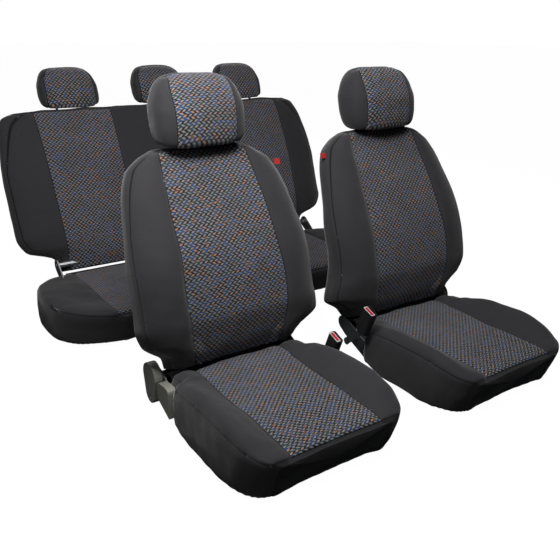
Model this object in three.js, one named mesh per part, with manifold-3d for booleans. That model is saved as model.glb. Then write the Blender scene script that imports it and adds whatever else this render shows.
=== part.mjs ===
// A set of car seat covers, fitted: two front seats and one rear bench.
// Millimetres, +Z up. The seats face -Y and stand on the plane z = 0.
import * as THREE from 'three';
import { mergeVertices } from 'three/addons/utils/BufferGeometryUtils.js';
import Module from 'manifold-3d';

const wasm = await Module();
wasm.setup();

// ---------------------------------------------------------------- driving dimensions

const GAP = 0.4; // air between two neighbouring solids
const CLOTH = 5; // cover thickness with its foam lining
const ROW_SHIFT = -378.3; // puts the middle of the whole set at y = 0
const FRONT_X = 330; // middle of each front seat

const FRONT = {
  creaseY: 0, // where cushion and backrest meet
  creaseZ: 125,
  recline: 19.5, // degrees from upright
  pivot: { y: 45, z: 98 },
  plateX: 214, // inner face of the hinge side plates
  // Backrest sections: height along the back, half width, front and rear face from the crease line.
  back: [
    { t: -8, w: 196, front: 0, rear: -93 },
    { t: 38, w: 208, front: 46, rear: -91 },
    { t: 80, w: 262, front: 70, rear: -82 },
    { t: 135, w: 278, front: 92, rear: -66 },
    { t: 250, w: 278, front: 101, rear: -32 },
    { t: 400, w: 262, front: 78, rear: -27 },
    { t: 545, w: 224, front: 40, rear: -38 },
    { t: 583, w: 180, front: 27, rear: -40 },
    { t: 603, w: 136, front: 15, rear: -36 },
  ],
  backBolster: 14, // how far the side bolsters stand in front of the middle
  // Cushion sections from the hinge to the front edge: distance from the crease, half width, bolster
  // height, how far the top is rounded off and how far the underside is lifted.
  cushion: [
    { y: -8, w: 206, bolster: 2, drop: 14, lift: 60 },
    { y: -24, w: 210, bolster: 7, drop: 1, lift: 50 },
    { y: -78, w: 210, bolster: 16, drop: 0, lift: 22 },
    { y: -94, w: 244, bolster: 19, drop: 0, lift: 13 },
    { y: -200, w: 248, bolster: 40, drop: 0, lift: 0 },
    { y: -320, w: 248, bolster: 46, drop: 0, lift: 0 },
    { y: -400, w: 243, bolster: 34, drop: 0, lift: 0 },
    { y: -452, w: 226, bolster: 13, drop: 1, lift: 0 },
    { y: -482, w: 200, bolster: 3, drop: 6, lift: 0 },
    { y: -492, w: 174, bolster: 0, drop: 19, lift: 0 },
  ],
  tuck: 40, // how far the foot of the front face stands behind its top edge
  bolsterAt: 206, // ridge of the bolster
  seamAt: 138, // foot of the bolster
  inserts: [{ name: 'insert', x: 0, seat: [139, 134], back: [138, 151, 156, 151, 148, 140, 130] }],
  headrests: [{ name: 'headrest', x: 0 }],
  head: { half: 138, depth: 140, height: 184, lean: 12, y: 174, z: 705, insert: 94, rodX: 66, rodOff: 3 },
  pocket: { half: 176, from: 34, to: 542, off: 9 }, // room for the frame, open to the rear
  frame: { x: [-150, 150], off: -4 },
  hingeRoom: { to: 40, off: -10 }, // room for the hinge tube, open to the underside
  pan: { front: -396, neck: -100, tongueHalf: 166, rear: 22 },
};

const BENCH = {
  creaseY: 880,
  creaseZ: 141,
  recline: 23.7,
  pivot: { y: 895, z: 165 },
  plateX: 566,
  back: [
    { t: -8, w: 548, front: 0, rear: -94 },
    { t: 56, w: 562, front: 29, rear: -94 },
    { t: 95, w: 662, front: 37, rear: -90 },
    { t: 150, w: 687, front: 45, rear: -84 },
    { t: 330, w: 688, front: 50, rear: -73 },
    { t: 520, w: 672, front: 33, rear: -72 },
    { t: 590, w: 648, front: 15, rear: -66 },
    { t: 612, w: 604, front: 2, rear: -54 },
  ],
  backBolster: 5,
  cushion: [
    { y: -8, w: 560, bolster: 0, drop: 14, lift: 50 },
    { y: -30, w: 612, bolster: 2, drop: 1, lift: 40 },
    { y: -100, w: 680, bolster: 6, drop: 0, lift: 24 },
    { y: -200, w: 698, bolster: 12, drop: 0, lift: 20 },
    { y: -310, w: 690, bolster: 12, drop: 0, lift: 18 },
    { y: -400, w: 640, bolster: 7, drop: 0, lift: 16 },
    { y: -450, w: 560, bolster: 2, drop: 3, lift: 14 },
    { y: -466, w: 500, bolster: 0, drop: 18, lift: 14 },
  ],
  tuck: 50,
  bolsterAt: 640,
  seamAt: 530,
  inserts: [
    { name: 'insert_left', x: -388, seat: [133, 126], back: [133, 136, 139, 142, 144, 146, 148] },
    { name: 'insert_right', x: 388, seat: [133, 126], back: [133, 136, 139, 142, 144, 146, 148] },
  ],
  headrests: [
    { name: 'headrest_left', x: -378 },
    { name: 'headrest_middle', x: 0 },
    { name: 'headrest_right', x: 378 },
  ],
  head: { half: 115, depth: 100, height: 140, lean: 22, y: 1153, z: 706, insert: 94, rodX: 56, rodOff: -27 },
  pocket: { half: 545, from: 40, to: 562, off: -20 },
  frame: { x: [-460, 0, 460], off: -42 },
  hingeRoom: { to: 78, off: 10 },
  pan: { front: 530, neck: 790, tongueHalf: 540, rear: 900 },
};

const TUBE_RADIUS = 10; // frame tubes
const TUBE_TOP = 16; // frame tube below the top of its pocket
const ROD_RADIUS = 5;
const ROD_BELOW = 140; // rod length below the headrest
const ROD_ABOVE = 84; // and inside it
const SLEEVE = { radius: 9, bore: 6, length: 62, below: 20 }; // below the top of the backrest
const HINGE_TUBE_RADIUS = 12;
const HINGE_PIN_RADIUS = 8;
const PLATE = { thickness: 5, radius: 24 };
const PAN = { floor: 3, wall: 3, height: 26 };
const HEM_Z = 3; // lower edge of the cushion covers
const HEM_T = 6; // lower edge of the back covers, along the back

const TRIM = { x: 221, thickness: 24 };
const LEVER = { x: 222, thickness: 24, y: 52, z: 80, half: 40, height: 122, screwZ: 36, screwRadius: 6 };
const BUCKLE = { x: 265, width: 46, thickness: 24, length: 84, lean: 21, foot: { y: -32, z: 74 } };
const BUCKLE_TOPS = [{ y: -135, z: 166 }, { y: -133, z: 216 }]; // left seat, right seat
const STRAP = { thickness: 3, half: 10 };
const BUTTON = { width: 34, thickness: 9, depth: 16, proud: 1.2, offset: -4.5 };
const SLOT = { width: 30, thickness: 5.2, depth: 44, offset: 6 };
const TAG = { thickness: 1.6, height: 16, length: 20, x: 233, t: 532, off: 24 };

// ---------------------------------------------------------------- materials

const MATERIALS = {
  insert: { color: 0x5a5b66, roughness: 0.95, metalness: 0 },
  surround: { color: 0x232427, roughness: 0.95, metalness: 0 },
  foam: { color: 0xc9b98a, roughness: 0.9, metalness: 0 },
  steel: { color: 0x6d7074, roughness: 0.4, metalness: 1 },
  chrome: { color: 0xd0d2d4, roughness: 0.15, metalness: 1 },
  greyPlastic: { color: 0x85847b, roughness: 0.5, metalness: 0 },
  blackPlastic: { color: 0x2b2c2e, roughness: 0.45, metalness: 0 },
  redPlastic: { color: 0xd0182c, roughness: 0.35, metalness: 0 },
  redTape: { color: 0xb01818, roughness: 0.9, metalness: 0 },
};

// ---------------------------------------------------------------- solids

function solidOf(geometry) {
  geometry.deleteAttribute('normal');
  geometry.deleteAttribute('uv');
  const merged = mergeVertices(geometry, 1e-4);
  const vertProperties = new Float32Array(merged.attributes.position.array);
  const triVerts = new Uint32Array(merged.index.array);
  return new wasm.Manifold(new wasm.Mesh({ numProp: 3, vertProperties, triVerts }));
}

function geometryOf(solid) {
  const mesh = solid.getMesh();
  const geometry = new THREE.BufferGeometry();
  geometry.setAttribute('position', new THREE.BufferAttribute(new Float32Array(mesh.vertProperties), 3));
  geometry.setIndex(new THREE.BufferAttribute(new Uint32Array(mesh.triVerts), 1));
  geometry.computeVertexNormals();
  return geometry;
}

// A closed body through rings of equal point counts; the rings run anticlockwise seen from the last one.
function loft(rings) {
  const count = rings[0].length;
  const points = rings.flat();
  const index = [];
  for (let level = 0; level < rings.length - 1; level += 1) {
    for (let k = 0; k < count; k += 1) {
      const a = level * count + k;
      const b = level * count + ((k + 1) % count);
      index.push(a, b, b + count, a, b + count, a + count);
    }
  }
  const last = (rings.length - 1) * count;
  for (let k = 1; k < count - 1; k += 1) {
    index.push(0, k + 1, k);
    index.push(last, last + k, last + k + 1);
  }
  const geometry = new THREE.BufferGeometry().setFromPoints(points);
  geometry.setIndex(index);
  return solidOf(geometry);
}

function placed(geometry, matrix) {
  geometry.applyMatrix4(matrix);
  return solidOf(geometry);
}

function joined(solids) {
  return solids.reduce((whole, piece) => whole.add(piece));
}

function box(low, high) {
  const geometry = new THREE.BoxGeometry(high[0] - low[0], high[1] - low[1], high[2] - low[2]);
  geometry.translate((low[0] + high[0]) / 2, (low[1] + high[1]) / 2, (low[2] + high[2]) / 2);
  return solidOf(geometry);
}

// A cylinder along X between two x values.
function barX(x0, x1, y, z, radius, sides = 10) {
  const geometry = new THREE.CylinderGeometry(radius, radius, x1 - x0, sides);
  geometry.rotateZ(Math.PI / 2);
  geometry.translate((x0 + x1) / 2, y, z);
  return solidOf(geometry);
}

function rodBetween(a, b, radius, sides) {
  const direction = b.clone().sub(a);
  const geometry = new THREE.CylinderGeometry(radius, radius, direction.length(), sides);
  const turn = new THREE.Quaternion().setFromUnitVectors(new THREE.Vector3(0, 1, 0), direction.normalize());
  const middle = a.clone().add(b).multiplyScalar(0.5);
  return placed(geometry, new THREE.Matrix4().compose(middle, turn, new THREE.Vector3(1, 1, 1)));
}

// A tube through points; each stretch runs on by most of its radius, so that the bends are closed.
function bentTube(points, radius, sides = 8) {
  const stretches = points.slice(1).map((b, k) => {
    const a = points[k];
    const runOn = b.clone().sub(a).setLength(radius * 0.7);
    const start = k === 0 ? a : a.clone().sub(runOn);
    const end = k === points.length - 2 ? b : b.clone().add(runOn);
    return rodBetween(start, end, radius, sides);
  });
  return joined(stretches);
}

// An outline in the Y-Z plane, extruded along X from x0 to x1.
function plateX(outline, x0, x1) {
  const shape = new THREE.Shape(outline.map(([y, z]) => new THREE.Vector2(y, z)));
  const geometry = new THREE.ExtrudeGeometry(shape, { depth: x1 - x0, bevelEnabled: false });
  const matrix = new THREE.Matrix4().set(0, 0, 1, x0, 1, 0, 0, 0, 0, 1, 0, 0, 0, 0, 0, 1);
  return placed(geometry, matrix);
}

function arc(y, z, radius, from, to, steps) {
  return Array.from({ length: steps + 1 }, (_, k) => {
    const angle = THREE.MathUtils.degToRad(from + ((to - from) * k) / steps);
    return [y + radius * Math.cos(angle), z + radius * Math.sin(angle)];
  });
}

function power(value, exponent) {
  return Math.sign(value) * Math.abs(value) ** exponent;
}

// ---------------------------------------------------------------- the backrest and its own frame

// A point given by x, its distance in front of the crease line and its height along the back.
function backPoint(seat, x, off, t) {
  const angle = THREE.MathUtils.degToRad(seat.recline);
  const y = seat.creaseY + t * Math.sin(angle) - off * Math.cos(angle);
  const z = seat.creaseZ + t * Math.cos(angle) + off * Math.sin(angle);
  return new THREE.Vector3(x, y, z);
}

// Carries (x, height, depth) of an extruded outline into the backrest's frame, starting `off` forward.
function backMatrix(seat, off) {
  const angle = THREE.MathUtils.degToRad(seat.recline);
  const right = new THREE.Vector3(1, 0, 0);
  const up = new THREE.Vector3(0, Math.sin(angle), Math.cos(angle));
  const ahead = new THREE.Vector3(0, -Math.cos(angle), Math.sin(angle));
  return new THREE.Matrix4().makeBasis(right, up, ahead).setPosition(backPoint(seat, 0, off, 0));
}

function backBox(seat, x, t, off) {
  const geometry = new THREE.BoxGeometry(2 * x, t[1] - t[0], off[1] - off[0]);
  geometry.translate(0, (t[0] + t[1]) / 2, (off[1] - off[0]) / 2);
  return placed(geometry, backMatrix(seat, off[0]));
}

const WINDOW_FROM = -8; // behind the front wall, inside the cover
const BACK_POINTS = 16;
const BACK_SQUARENESS = 3.4;

function backTop(seat) {
  return seat.back[seat.back.length - 1];
}

// The backrest's outer shape, drawn in by `inset`.
function backSolid(seat, inset) {
  const rings = seat.back.map((level) => {
    const middle = (level.front + level.rear) / 2;
    const depth = (level.front - level.rear) / 2 - inset;
    const t = level === backTop(seat) ? level.t - inset : level.t;
    return Array.from({ length: BACK_POINTS }, (_, k) => {
      const angle = (-2 * Math.PI * (k + 0.5)) / BACK_POINTS;
      const side = power(Math.cos(angle), 2 / BACK_SQUARENESS);
      const reach = power(Math.sin(angle), 2 / BACK_SQUARENESS);
      const ridge = Math.sin(Math.PI * THREE.MathUtils.clamp(2 * Math.abs(side) - 1, 0, 1));
      const bulge = reach > 0 ? seat.backBolster * ridge : 0;
      return backPoint(seat, side * (level.w - inset), middle + depth * reach + bulge, t);
    });
  });
  return loft(rings);
}

// The window of a patterned insert: the front wall of the back cover, up to the top seam.
function backWindow(seat, insert, grow) {
  const height = backTop(seat).t;
  const steps = insert.back.length - 1;
  const sides = insert.back.map((half, k) => [half + grow, (height * k) / steps]);
  sides[0][1] = -60; // runs out below the hem
  sides[steps][1] = height - CLOTH - 1 + grow;
  const outline = [...sides, ...sides.map(([x, t]) => [-x, t]).reverse()];
  const shape = new THREE.Shape(outline.map(([x, t]) => new THREE.Vector2(x, t)));
  const geometry = new THREE.ExtrudeGeometry(shape, { depth: 260, bevelEnabled: false });
  geometry.translate(insert.x, 0, 0);
  return placed(geometry, backMatrix(seat, WINDOW_FROM));
}

// ---------------------------------------------------------------- the cushion

// Half of a cushion section, from the middle of the underside round to the middle of the top.
function cushionProfile(seat, level, inset) {
  const top = seat.creaseZ - 2 - inset - level.drop;
  const floor = level.lift + (inset > 0 ? -2 * CLOTH : HEM_Z);
  const w = level.w - inset;
  const narrow = w / (Math.max(...seat.cushion.map((one) => one.w)) - inset);
  return [
    [w * 0.5, floor],
    [w - 6, floor],
    [w, floor + (top - floor) * 0.6],
    [w - 5, top + level.bolster * 0.35],
    [w - 20, top + level.bolster * 0.9],
    [seat.bolsterAt * narrow, top + level.bolster],
    [seat.seamAt * narrow, top],
    [seat.seamAt * narrow * 0.5, top + 3],
  ];
}

function cushionSolid(seat, inset) {
  const first = seat.cushion[0];
  const last = seat.cushion[seat.cushion.length - 1];
  const rings = seat.cushion.map((level) => {
    const along = (first.y - level.y) / (first.y - last.y);
    const y = seat.creaseY + level.y + THREE.MathUtils.lerp(-inset, inset, along);
    const right = cushionProfile(seat, level, inset);
    const whole = [...right, ...right.map(([x, z]) => [-x, z]).reverse()];
    return whole.map(([x, z]) => {
      const low = THREE.MathUtils.clamp(1 - z / (seat.creaseZ - 2), 0, 1);
      return new THREE.Vector3(x, y + seat.tuck * along * low, z);
    });
  });
  return loft(rings);
}

function cushionWindow(seat, insert, grow) {
  const [rearHalf, frontHalf] = insert.seat;
  const frontY = seat.creaseY + seat.cushion[seat.cushion.length - 1].y + 7 - grow;
  const rearY = seat.creaseY + 60;
  const outline = [
    [rearHalf + grow, rearY],
    [-rearHalf - grow, rearY],
    [-frontHalf - grow, frontY],
    [frontHalf + grow, frontY],
  ];
  const shape = new THREE.Shape(outline.map(([x, y]) => new THREE.Vector2(x, y)));
  const geometry = new THREE.ExtrudeGeometry(shape, { depth: 120, bevelEnabled: false });
  geometry.translate(insert.x, 0, seat.creaseZ - 45 - grow);
  return solidOf(geometry);
}

// ---------------------------------------------------------------- the headrest

const HEAD_LEVELS = [
  // share of the height, of the half width and of the depth
  { h: 0, w: 0.84, d: 0.8 },
  { h: 0.12, w: 0.96, d: 0.97 },
  { h: 0.5, w: 1, d: 1 },
  { h: 0.82, w: 0.92, d: 0.86 },
  { h: 0.95, w: 0.77, d: 0.64 },
  { h: 1, w: 0.56, d: 0.36 },
];
const HEAD_POINTS = 12;
const HEAD_SQUARENESS = 3;

function headLean(seat) {
  return Math.tan(THREE.MathUtils.degToRad(seat.head.lean));
}

function headSolid(seat, x0, inset) {
  const { head } = seat;
  const rings = HEAD_LEVELS.map((level) => {
    const height = THREE.MathUtils.lerp(inset, head.height - inset, level.h);
    const width = head.half * level.w - inset;
    const depth = (head.depth / 2) * level.d - inset;
    return Array.from({ length: HEAD_POINTS }, (_, k) => {
      const angle = (2 * Math.PI * (k + 0.5)) / HEAD_POINTS;
      const x = x0 + width * power(Math.cos(angle), 2 / HEAD_SQUARENESS);
      const y = head.y + height * headLean(seat) + depth * power(Math.sin(angle), 2 / HEAD_SQUARENESS);
      return new THREE.Vector3(x, y, head.z + height);
    });
  });
  return loft(rings);
}

// The window of the headrest's insert: what lies in front of its leaning middle plane.
function headWindow(seat, x0, grow) {
  const { head } = seat;
  const half = head.insert + grow;
  const low = -30;
  const high = head.height - 14 + grow;
  const corner = 26;
  const outline = [
    [half, low],
    [half, high - corner],
    [half - corner, high],
    [corner - half, high],
    [-half, high - corner],
    [-half, low],
  ];
  const shape = new THREE.Shape(outline.map(([x, z]) => new THREE.Vector2(x, z)));
  const geometry = new THREE.ExtrudeGeometry(shape, { depth: 200, bevelEnabled: false });
  // Outline height runs up the leaning plane, and the extrusion runs forward from it.
  const front = head.y - 16 + grow;
  const lean = headLean(seat);
  const matrix = new THREE.Matrix4().set(1, 0, 0, x0, 0, lean, -1, front, 0, 1, 0, head.z, 0, 0, 0, 1);
  return placed(geometry, matrix);
}

// ---------------------------------------------------------------- headrest rods and the steel frame

// Height along the back where the rods meet the underside of the headrest.
function rodEntry(seat) {
  const angle = THREE.MathUtils.degToRad(seat.recline);
  return (seat.head.z - seat.creaseZ - seat.head.rodOff * Math.sin(angle)) / Math.cos(angle);
}

function rodLine(seat, x, radius, from, to, sides = 6) {
  const { rodOff } = seat.head;
  return rodBetween(backPoint(seat, x, rodOff, from), backPoint(seat, x, rodOff, to), radius, sides);
}

function rodPlaces(seat) {
  return seat.headrests.flatMap((one) => [one.x - seat.head.rodX, one.x + seat.head.rodX]);
}

// One rod bent into an arch, both legs down into the sleeves of the frame.
function rodSolid(seat, x0) {
  const { rodX, rodOff } = seat.head;
  const foot = rodEntry(seat) - ROD_BELOW;
  const arch = rodEntry(seat) + ROD_ABOVE;
  const corners = [[-rodX, foot], [-rodX, arch], [rodX, arch], [rodX, foot]];
  return bentTube(corners.map(([x, t]) => backPoint(seat, x0 + x, rodOff, t)), ROD_RADIUS, 6);
}

// The flat pocket in the headrest foam that the arch sits in, open to the underside.
function rodPocket(seat, x0) {
  const { rodX, rodOff } = seat.head;
  const reach = ROD_RADIUS + 1.5;
  const entry = rodEntry(seat);
  const geometry = new THREE.BoxGeometry(2 * (rodX + reach), ROD_ABOVE + reach + 40, 2 * reach);
  geometry.translate(x0, entry + (ROD_ABOVE + reach - 40) / 2, 0);
  return placed(geometry, backMatrix(seat, rodOff));
}

function frameSolid(seat) {
  const { frame, pocket, pivot } = seat;
  const top = pocket.to - TUBE_TOP;
  const low = pocket.from + 44;
  const crossReach = Math.abs(frame.x[0]) + TUBE_RADIUS * 0.7;
  const crossEnds = [-crossReach, crossReach].map((x) => backPoint(seat, x, frame.off, top));
  const crossTube = rodBetween(...crossEnds, TUBE_RADIUS, 6);
  const legs = frame.x.map((x) => {
    const hinge = new THREE.Vector3(x, pivot.y, pivot.z);
    return bentTube([backPoint(seat, x, frame.off, top), backPoint(seat, x, frame.off, low), hinge], TUBE_RADIUS, 6);
  });
  const tubeReach = seat.plateX - 2;
  const pinReach = seat.plateX + PLATE.thickness + 1;
  const hingeTube = barX(-tubeReach, tubeReach, pivot.y, pivot.z, HINGE_TUBE_RADIUS);
  const hingePin = barX(-pinReach, pinReach, pivot.y, pivot.z, HINGE_PIN_RADIUS);
  const sleeveTop = backTop(seat).t - SLEEVE.below;
  const sleeves = rodPlaces(seat).map((x) => rodLine(seat, x, SLEEVE.radius, sleeveTop - SLEEVE.length, sleeveTop));
  const bores = rodPlaces(seat).map((x) => rodLine(seat, x, SLEEVE.bore, 380, sleeveTop + 40));
  return joined([crossTube, ...legs, hingeTube, hingePin, ...sleeves]).subtract(joined(bores));
}

// What the frame, its sleeves and the hinge tube take out of the back foam.
function frameRoom(seat) {
  const { pocket } = seat;
  const wide = 2 * seat.plateX;
  const behind = backBox(seat, pocket.half, [pocket.from, pocket.to], [-200, pocket.off]);
  const hingeRoom = backBox(seat, wide, [-80, seat.hingeRoom.to], [-200, seat.hingeRoom.off]);
  const channels = seat.headrests.map((one) => {
    const half = seat.head.rodX + SLEEVE.radius + 2;
    const geometry = new THREE.BoxGeometry(2 * half, 200, 2 * SLEEVE.radius + 3);
    geometry.translate(one.x, backTop(seat).t - 60, 0);
    return placed(geometry, backMatrix(seat, seat.head.rodOff));
  });
  return joined([behind, hingeRoom, ...channels]);
}

// ---------------------------------------------------------------- the pan and the hinge plates

// Outline of one hinge plate in the Y-Z plane, round about the hinge.
function hingePlateOutline(seat, grow) {
  const { pivot } = seat;
  const y0 = seat.pan.neck;
  return [
    [y0 - 16 - grow, 0],
    [y0 + 6 + grow, 0],
    [y0 + 24, 14 - grow],
    [pivot.y - 14, pivot.z - 38 - grow],
    ...arc(pivot.y, pivot.z, PLATE.radius + grow, -55, 110, 5),
    [y0 + 30, pivot.z - 28 + grow],
    [y0 - 16 - grow, PAN.height + grow],
  ];
}

function hingePlate(seat, side, grow) {
  const inner = side * (seat.plateX - grow);
  const outer = side * (seat.plateX + PLATE.thickness + grow);
  return plateX(hingePlateOutline(seat, grow), Math.min(inner, outer), Math.max(inner, outer));
}

function panSolid(seat, grow) {
  const { pan } = seat;
  const wallHalf = seat.plateX + PLATE.thickness + grow;
  const wallInner = seat.plateX + PLATE.thickness - PAN.wall - grow;
  const floorTop = PAN.floor + grow;
  const wallTop = PAN.height + grow;
  const bottom = -grow;
  const front = pan.front - grow;
  const rear = pan.neck + grow;
  const floor = box([-wallHalf, front, bottom], [wallHalf, rear, floorTop]);
  const tongue = box([-pan.tongueHalf - grow, rear - 20, bottom], [pan.tongueHalf + grow, pan.rear + grow, floorTop]);
  const frontWall = box([-wallHalf, front, bottom], [wallHalf, pan.front + PAN.wall + grow, wallTop]);
  const leftWall = box([-wallHalf, front, bottom], [-wallInner, rear, wallTop]);
  const rightWall = box([wallInner, front, bottom], [wallHalf, rear, wallTop]);
  const plates = [-1, 1].map((side) => hingePlate(seat, side, grow));
  return joined([floor, tongue, frontWall, leftWall, rightWall, ...plates]);
}

function hingeHoles(seat) {
  const reach = seat.plateX + 20;
  return barX(-reach, reach, seat.pivot.y, seat.pivot.z, HINGE_PIN_RADIUS + 0.5);
}

// ---------------------------------------------------------------- side hardware of a front seat

// Everything here is made for the side `side` (-1 left, 1 right) of a seat at x = 0.
function xRange(side, from, thickness) {
  const a = side * from;
  const b = side * (from + thickness);
  return [Math.min(a, b), Math.max(a, b)];
}

function trimSolid(side) {
  const outline = [
    [-68, 26],
    [-4, 54],
    [0, 92],
    ...arc(-14, 96, 14, 10, 90, 3),
    [-44, 114],
    ...arc(-56, 102, 12, 90, 180, 3),
  ];
  return plateX(outline, ...xRange(side, TRIM.x, TRIM.thickness));
}

function leverSolid(side) {
  const { y, z, half, height, screwZ, screwRadius } = LEVER;
  const upper = half;
  const lower = half * 0.72;
  const outline = [
    ...arc(y, z - height / 2 + lower, lower, 180, 360, 10),
    ...arc(y, z + height / 2 - upper, upper, 0, 180, 10),
  ];
  const [x0, x1] = xRange(side, LEVER.x, LEVER.thickness);
  return plateX(outline, x0, x1).subtract(barX(x0 - 1, x1 + 1, y, screwZ, screwRadius + GAP));
}

// The screw runs from the hinge side plate through the lever; its head sits in the lever's face.
function leverScrewSolid(side) {
  const [x0, x1] = xRange(side, LEVER.x - 2, LEVER.thickness);
  return barX(x0, x1, LEVER.y, LEVER.screwZ, LEVER.screwRadius - 0.4);
}

// The buckle's own frame: x across, height up its leaning axis, origin in the middle of its top face.
function buckleMatrix(side, top) {
  const angle = THREE.MathUtils.degToRad(BUCKLE.lean);
  const across = new THREE.Vector3(1, 0, 0);
  const back = new THREE.Vector3(0, Math.cos(angle), Math.sin(angle));
  const up = new THREE.Vector3(0, -Math.sin(angle), Math.cos(angle));
  return new THREE.Matrix4().makeBasis(across, back, up).setPosition(side * BUCKLE.x, top.y, top.z);
}

function buckleBox(side, top, x, y, z) {
  const geometry = new THREE.BoxGeometry(x[1] - x[0], y[1] - y[0], z[1] - z[0]);
  geometry.translate((x[0] + x[1]) / 2, (y[0] + y[1]) / 2, (z[0] + z[1]) / 2);
  return placed(geometry, buckleMatrix(side, top));
}

function buckleBodySolid(side, top) {
  const outer = new THREE.Shape();
  const halfX = BUCKLE.thickness / 2;
  const halfY = BUCKLE.width / 2;
  const cut = 4;
  outer.moveTo(halfX, -halfY + cut);
  outer.lineTo(halfX, halfY - cut);
  outer.lineTo(halfX - cut, halfY);
  outer.lineTo(-halfX + cut, halfY);
  outer.lineTo(-halfX, halfY - cut);
  outer.lineTo(-halfX, -halfY + cut);
  outer.lineTo(-halfX + cut, -halfY);
  outer.lineTo(halfX - cut, -halfY);
  const geometry = new THREE.ExtrudeGeometry(outer, { depth: BUCKLE.length, bevelEnabled: false });
  geometry.translate(0, 0, -BUCKLE.length);
  const body = placed(geometry, buckleMatrix(side, top));
  const slotX = [SLOT.offset - SLOT.thickness / 2, SLOT.offset + SLOT.thickness / 2];
  const slot = buckleBox(side, top, slotX, [-SLOT.width / 2, SLOT.width / 2], [-SLOT.depth, 2]);
  const well = buttonBox(side, top, 0.5, 5);
  const strapRoom = buckleBox(side, top, [-2.2, 2.2], [-10.8, 10.8], [-BUCKLE.length - 2, -BUCKLE.length + 22]);
  return body.subtract(slot).subtract(well).subtract(strapRoom);
}

// The press button; `grow` widens it and `deeper` lengthens it, for the well that it moves in.
function buttonBox(side, top, grow, deeper) {
  const x = [BUTTON.offset - BUTTON.thickness / 2 - grow, BUTTON.offset + BUTTON.thickness / 2 + grow];
  const y = [-BUTTON.width / 2 - grow, BUTTON.width / 2 + grow];
  return buckleBox(side, top, x, y, [-BUTTON.depth - deeper, BUTTON.proud + deeper]);
}

// A bent steel strap from the hinge side plate to the foot of the buckle, with the spacer it swings on.
function stalkSolid(side, top) {
  const angle = THREE.MathUtils.degToRad(BUCKLE.lean);
  const alongBuckle = (depth, off) => [
    top.y + depth * Math.sin(angle) + off * Math.cos(angle),
    top.z - depth * Math.cos(angle) + off * Math.sin(angle),
  ];
  const { foot } = BUCKLE;
  const outline = [
    alongBuckle(BUCKLE.length - 18, -STRAP.half),
    alongBuckle(BUCKLE.length + 4, -STRAP.half),
    ...arc(foot.y, foot.z, STRAP.half + 2, 200, 400, 8),
    alongBuckle(BUCKLE.length + 4, STRAP.half),
    alongBuckle(BUCKLE.length - 18, STRAP.half),
  ];
  const strap = plateX(outline, ...xRange(side, BUCKLE.x - STRAP.thickness / 2, STRAP.thickness));
  const spacerFrom = FRONT.plateX + PLATE.thickness + GAP;
  const spacer = barX(...xRange(side, spacerFrom, BUCKLE.x - spacerFrom), foot.y, foot.z, 7);
  return strap.add(spacer);
}

function tagSolid(side) {
  const geometry = new THREE.BoxGeometry(TAG.length, TAG.height, TAG.thickness);
  geometry.translate(side * (TAG.x + TAG.length / 2), TAG.t, 0);
  return placed(geometry, backMatrix(FRONT, TAG.off));
}

// ---------------------------------------------------------------- assembling

const seatCovers = new THREE.Group();
seatCovers.position.y = ROW_SHIFT;

function addPiece(parent, name, solid, material) {
  const mesh = new THREE.Mesh(geometryOf(solid), new THREE.MeshStandardMaterial(MATERIALS[material]));
  mesh.name = name;
  parent.add(mesh);
}

// Splits a cover into its patterned inserts and the plain surround.
function addCover(parent, prefix, skin, seat, windowOf) {
  const windows = seat.inserts.map((insert) => windowOf(seat, insert, GAP));
  for (const insert of seat.inserts) {
    addPiece(parent, `${prefix}_${insert.name}`, skin.intersect(windowOf(seat, insert, 0)), 'insert');
  }
  addPiece(parent, `${prefix}_surround`, skin.subtract(joined(windows)), 'surround');
}

function addCushion(parent, prefix, seat) {
  const skin = cushionSolid(seat, 0).subtract(cushionSolid(seat, CLOTH)).subtract(panSolid(seat, GAP));
  addCover(parent, `${prefix}_cushion`, skin, seat, cushionWindow);
  const foam = cushionSolid(seat, CLOTH + GAP).intersect(box([-2000, -2000, PAN.floor + GAP], [2000, 2000, 400]));
  addPiece(parent, `${prefix}_cushion_foam`, foam.subtract(panSolid(seat, GAP)), 'foam');
  addPiece(parent, `${prefix}_cushion_pan`, panSolid(seat, 0).subtract(hingeHoles(seat)), 'steel');
}

function addBack(parent, prefix, seat) {
  const belowHem = backBox(seat, 2 * seat.plateX, [-200, HEM_T], [-300, 300]);
  const rodHoles = joined(rodPlaces(seat).map((x) => rodLine(seat, x, ROD_RADIUS + 2, 520, backTop(seat).t + 40)));
  const reach = seat.plateX;
  const hingeHole = barX(-reach, reach, seat.pivot.y, seat.pivot.z, HINGE_TUBE_RADIUS + 1);
  const walls = backSolid(seat, 0).subtract(backSolid(seat, CLOTH));
  const skin = walls.subtract(belowHem).subtract(rodHoles).subtract(hingeHole);
  addCover(parent, `${prefix}_back`, skin, seat, backWindow);
  addPiece(parent, `${prefix}_back_foam`, backSolid(seat, CLOTH + GAP).subtract(frameRoom(seat)), 'foam');
  addPiece(parent, `${prefix}_back_frame`, frameSolid(seat), 'steel');
}

function addHeadrest(parent, prefix, seat, x0) {
  const entry = rodEntry(seat);
  const legs = [-1, 1].map((side) => rodLine(seat, x0 + side * seat.head.rodX, ROD_RADIUS + 2, entry - 40, entry + 26));
  const skin = headSolid(seat, x0, 0).subtract(headSolid(seat, x0, CLOTH)).subtract(joined(legs));
  addPiece(parent, `${prefix}_insert`, skin.intersect(headWindow(seat, x0, 0)), 'insert');
  addPiece(parent, `${prefix}_surround`, skin.subtract(headWindow(seat, x0, GAP)), 'surround');
  addPiece(parent, `${prefix}_foam`, headSolid(seat, x0, CLOTH + GAP).subtract(rodPocket(seat, x0)), 'foam');
  addPiece(parent, `${prefix}_rods`, rodSolid(seat, x0), 'chrome');
}

function addSeat(parent, prefix, seat) {
  addCushion(parent, prefix, seat);
  addBack(parent, prefix, seat);
  for (const one of seat.headrests) {
    addHeadrest(parent, `${prefix}_${one.name}`, seat, one.x);
  }
}

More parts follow.
